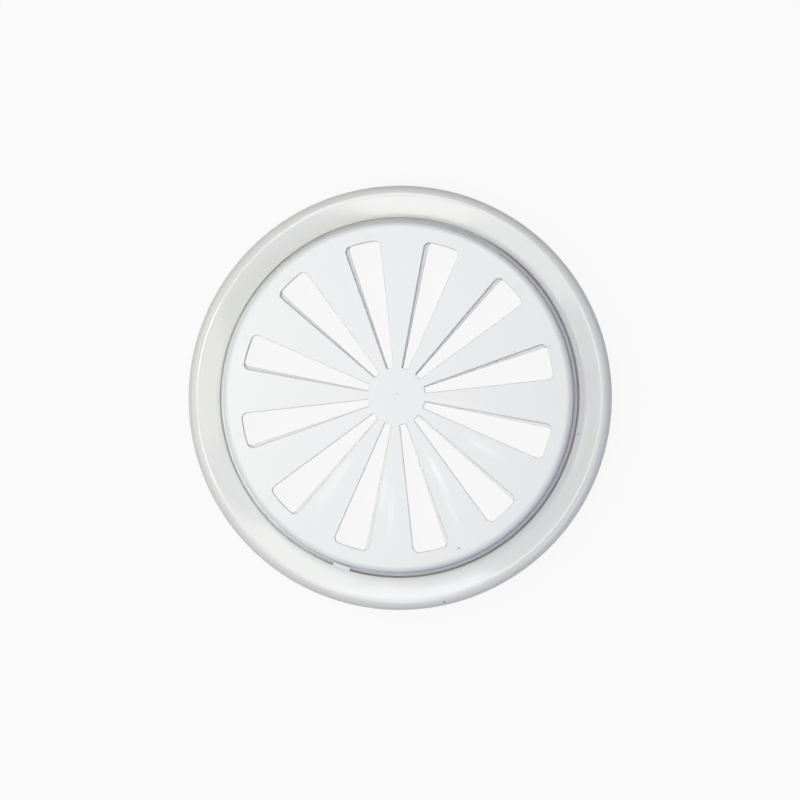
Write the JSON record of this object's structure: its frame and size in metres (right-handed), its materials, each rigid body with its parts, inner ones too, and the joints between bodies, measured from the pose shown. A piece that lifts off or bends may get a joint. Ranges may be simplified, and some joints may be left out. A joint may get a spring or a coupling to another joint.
{
  "type": "closable round vent",
  "caption": "Round white plastic vent: a slotted disc turns inside a rolled rim, in front of a fixed slotted grille, to open or shut the air path, with a duct spigot behind.",
  "frame": {"origin": "centre of the wall plane, where the spigot leaves the back of the rim", "axes": "+Z out of the wall towards the room, +X to the right and +Y up as seen from the room"},
  "size_m": [0.155, 0.155, 0.0246],
  "materials": {
    "rim_plastic": "gloss",
    "disc_plastic": "gloss"
  },
  "bodies": {
    "frame": {"frame": "rim_plastic"},
    "disc": {"rotary_disc": "disc_plastic"}
  },
  "joints": [
    {"name": "disc_turn", "type": "hinge", "parent": "frame", "child": "disc", "pos_m": [0, 0, 0.0103], "axis": [0, 0, 1], "range_deg": [-1.3, 13.7]}
  ]
}
